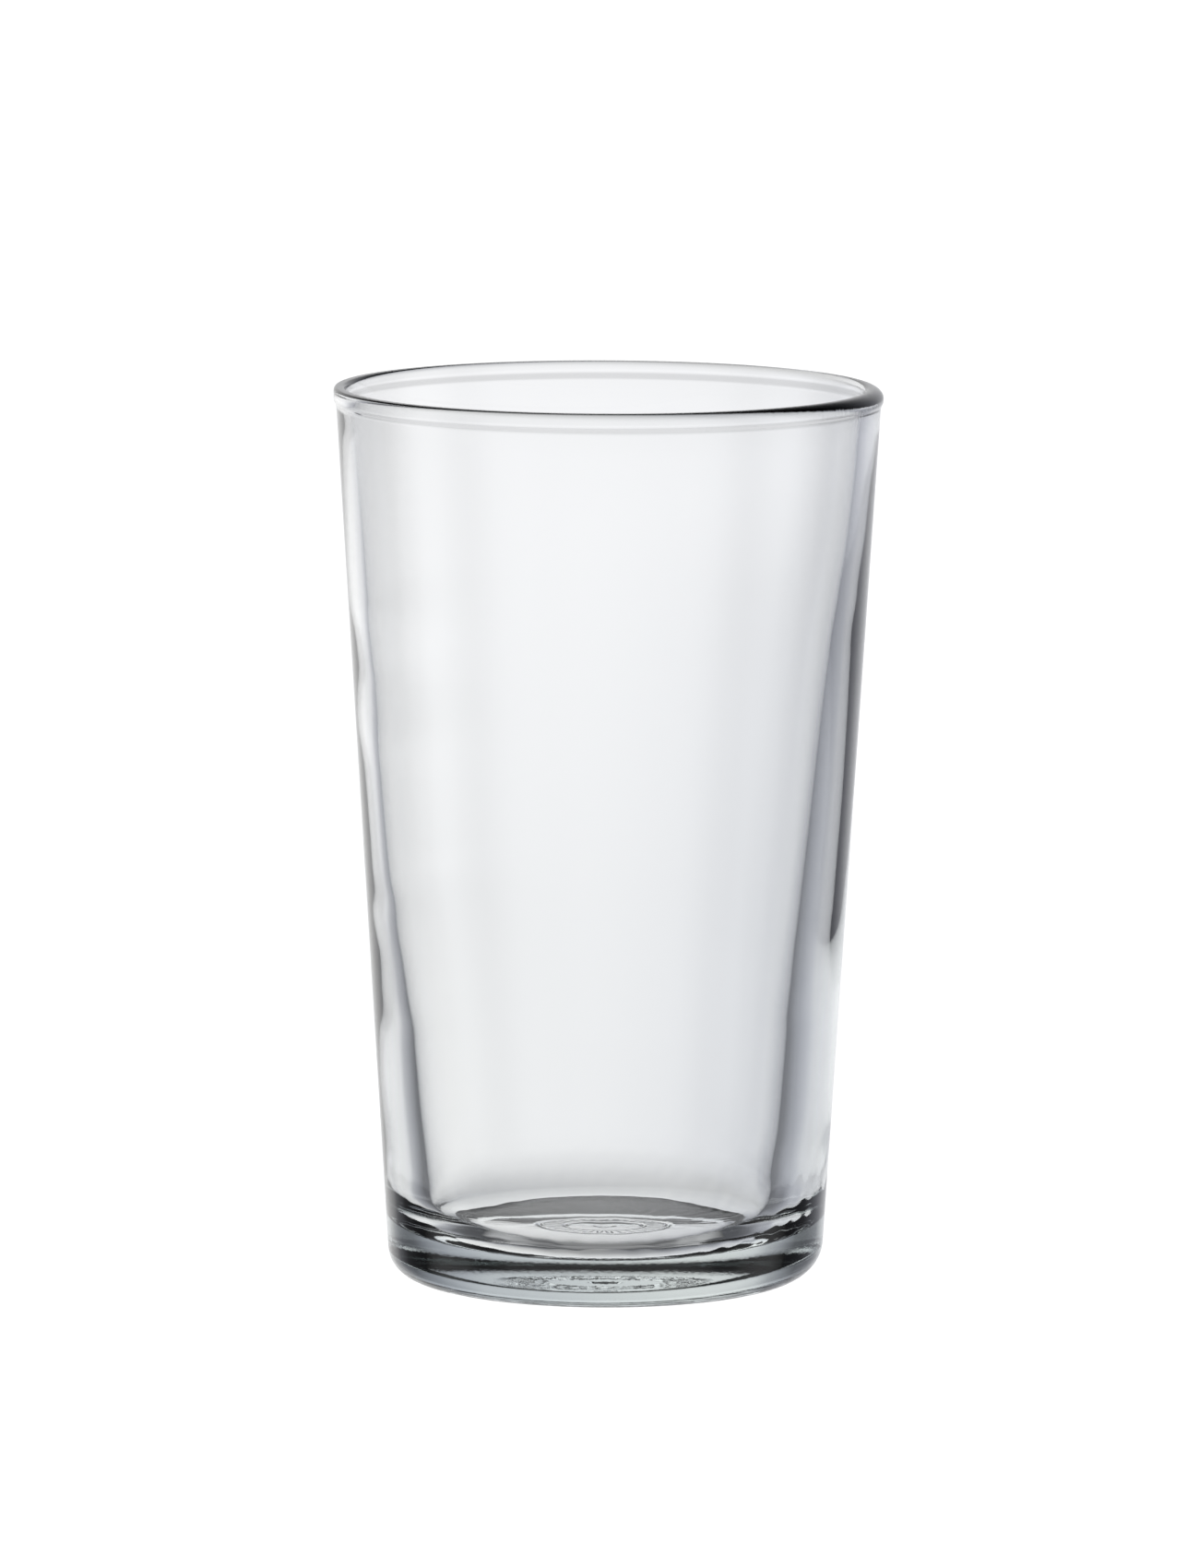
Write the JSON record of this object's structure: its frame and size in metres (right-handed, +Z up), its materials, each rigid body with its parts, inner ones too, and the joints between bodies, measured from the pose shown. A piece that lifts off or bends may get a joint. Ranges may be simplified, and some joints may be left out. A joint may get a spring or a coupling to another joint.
{
  "type": "pint drinking glass",
  "caption": "Clear tapered tumbler with a rounded rim bead, thick base, rounded heel, and a flat resting ring round a shallow hollow with raised rings and bars.",
  "frame": {"origin": "centre of the resting ring under the base, on the surface that the glass stands on", "axes": "+Z up along the glass's axis towards the mouth; the glass looks the same all round, so +X and +Y are free"},
  "size_m": [0.091, 0.091, 0.1487],
  "materials": {
    "clear_glass": "clear pressed soda-lime glass, fire-polished"
  },
  "bodies": {
    "root": {"tumbler": "clear_glass"}
  },
  "joints": []
}
